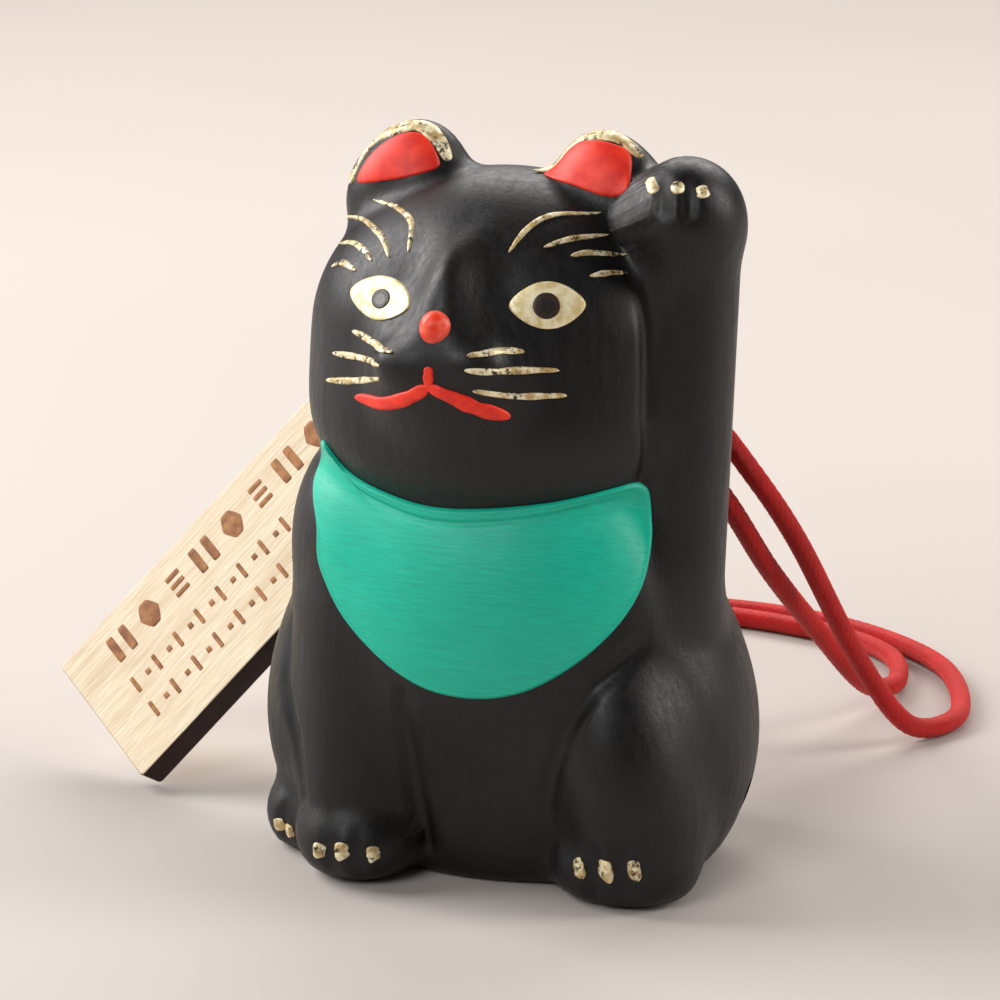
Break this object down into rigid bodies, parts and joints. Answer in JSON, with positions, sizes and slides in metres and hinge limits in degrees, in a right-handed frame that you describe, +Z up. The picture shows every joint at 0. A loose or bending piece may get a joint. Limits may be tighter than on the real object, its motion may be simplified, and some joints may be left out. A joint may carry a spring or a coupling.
{
  "type": "beckoning cat figurine",
  "caption": "small painted black clay bell shaped as a seated beckoning cat with a green bib, a raised left forepaw, a red cord loop from the nape and a small wooden tag on the cord",
  "frame": {"origin": "middle of the cat's footprint box, on the table", "axes": "+Z up, -Y the way the cat faces, +X the cat's left, the side of its raised paw"},
  "size_m": [0.0616, 0.0679, 0.0499],
  "materials": {
    "black_clay": "satin black paint brushed over pressed low-fired clay",
    "green_paint": "matte teal green brush paint, raised",
    "red_paint": "matte vermilion brush paint",
    "coral_paint": "coral brush paint, slightly glossy",
    "gold_paint": "pale gold brush paint, patchy",
    "pupil_paint": "black-brown brush paint",
    "bare_clay": "bare low-fired clay",
    "red_cord": "braided red cord",
    "pale_wood": "pale sawn softwood, edges burnt dark by the cutter",
    "burnt_wood": "shallow burnt marks"
  },
  "bodies": {
    "figure": {"front_shell": "black_clay", "rear_shell": "black_clay", "bib": "green_paint", "ear_lining_left": "red_paint", "ear_lining_right": "red_paint", "ear_rim_left": "gold_paint", "ear_rim_right": "gold_paint", "eye_left": "gold_paint", "eye_right": "gold_paint", "pupil_left": "pupil_paint", "pupil_right": "pupil_paint", "nose": "coral_paint", "mouth": "red_paint", "brows_left": "gold_paint", "brows_right": "gold_paint", "whiskers_left": "gold_paint", "whiskers_right": "gold_paint", "claws_raised_paw": "gold_paint", "claws_fore_foot": "gold_paint", "claws_left_hind_foot": "gold_paint", "claws_right_hind_foot": "gold_paint", "cord": "red_cord", "cord_knot": "red_cord"},
    "pellet": {"rattle_pellet": "bare_clay"},
    "tag": {"wood_tag": "pale_wood", "tag_marks": "burnt_wood"}
  },
  "joints": [
    {"name": "pellet_rattle", "type": "slide", "parent": "figure", "child": "pellet", "axis": [0, 0, 1], "range_m": [0, 0.012]},
    {"name": "tag_swing", "type": "hinge", "parent": "figure", "child": "tag", "pos_m": [-0.00975, 0.01485, 0.03005], "axis": [0.2171, 0.8303, -0.5132], "range_deg": [0, 50]}
  ]
}
